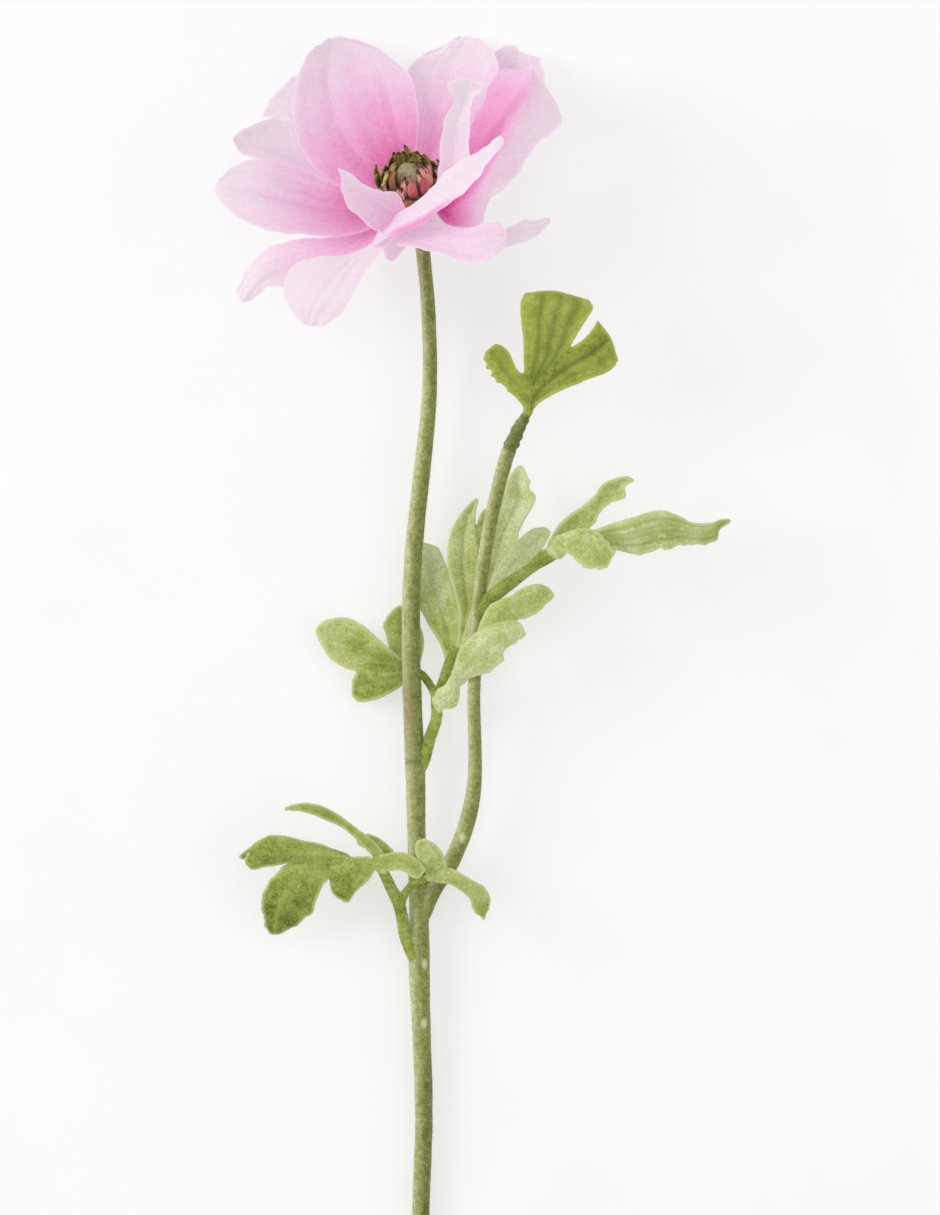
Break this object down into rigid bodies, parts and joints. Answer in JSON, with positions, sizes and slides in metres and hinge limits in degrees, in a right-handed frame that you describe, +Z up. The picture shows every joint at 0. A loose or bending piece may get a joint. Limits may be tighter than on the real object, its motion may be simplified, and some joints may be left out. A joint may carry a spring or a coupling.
{
  "type": "anemone flower",
  "caption": "Cut anemone spray lying down: an open pink bloom with a dark green and rose centre on a long bent stalk, with a side branch and lobed grey-green leaves.",
  "frame": {"origin": "on the surface that the spray lies on, under the middle of its bounding box", "axes": "+Y along the stalk from its cut end to the bloom, +Z up from the surface, +X to the side branch's side"},
  "size_m": [0.1343, 0.3534, 0.0565],
  "materials": {
    "stalk": "matte, softly flocked",
    "leaf": "matte, flocked",
    "top_leaf": "matte, flocked",
    "petal": "soft matte, fine weave",
    "seed_head": "matte",
    "rose_scales": "matte",
    "stamens": "matte"
  },
  "bodies": {
    "root": {"stalk": "stalk", "leaf_lower": "leaf", "leaf_upper": "leaf", "leaf_side": "leaf", "leaf_top": "top_leaf", "petal_folded": "petal", "petal_front_inner": "petal", "petal_front_curled": "petal", "petal_back_left": "petal", "petal_left": "petal", "petal_lower": "petal", "petal_right": "petal", "petal_back_right": "petal", "petal_upper_left": "petal", "petal_lower_left": "petal", "petal_lower_right": "petal", "petal_ruffled": "petal", "petal_behind": "petal", "petal_far_right": "petal", "petal_small": "petal", "seed_head": "seed_head", "rose_scales": "rose_scales", "stamens": "stamens"}
  },
  "joints": []
}
